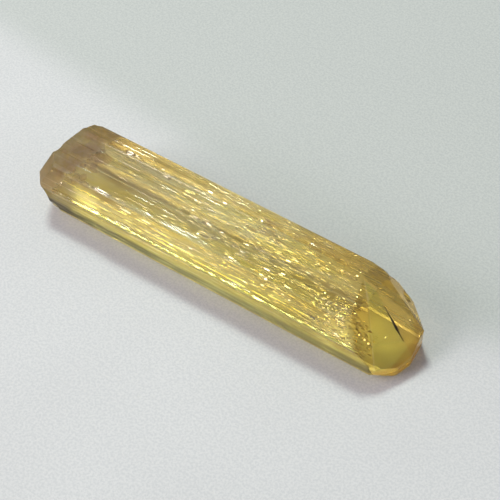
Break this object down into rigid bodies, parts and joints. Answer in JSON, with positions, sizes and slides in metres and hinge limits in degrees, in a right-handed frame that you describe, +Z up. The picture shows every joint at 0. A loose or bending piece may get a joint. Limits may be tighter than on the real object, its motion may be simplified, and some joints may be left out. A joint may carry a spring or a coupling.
{
  "type": "topaz crystal",
  "caption": "Loose golden topaz crystal: a clear striated prism with a sloping faceted end and a broken end, lying on its flat side.",
  "frame": {"origin": "centre of the footprint, on the surface that the crystal lies on", "axes": "+X along the crystal towards its sloping end, +Z up from the flat side that it lies on, -Y towards its lower long side"},
  "size_m": [0.0388, 0.0076, 0.0063],
  "materials": {
    "topaz": "clear golden, glossy, finely striated along its length"
  },
  "bodies": {
    "root": {"topaz_crystal": "topaz"}
  },
  "joints": []
}
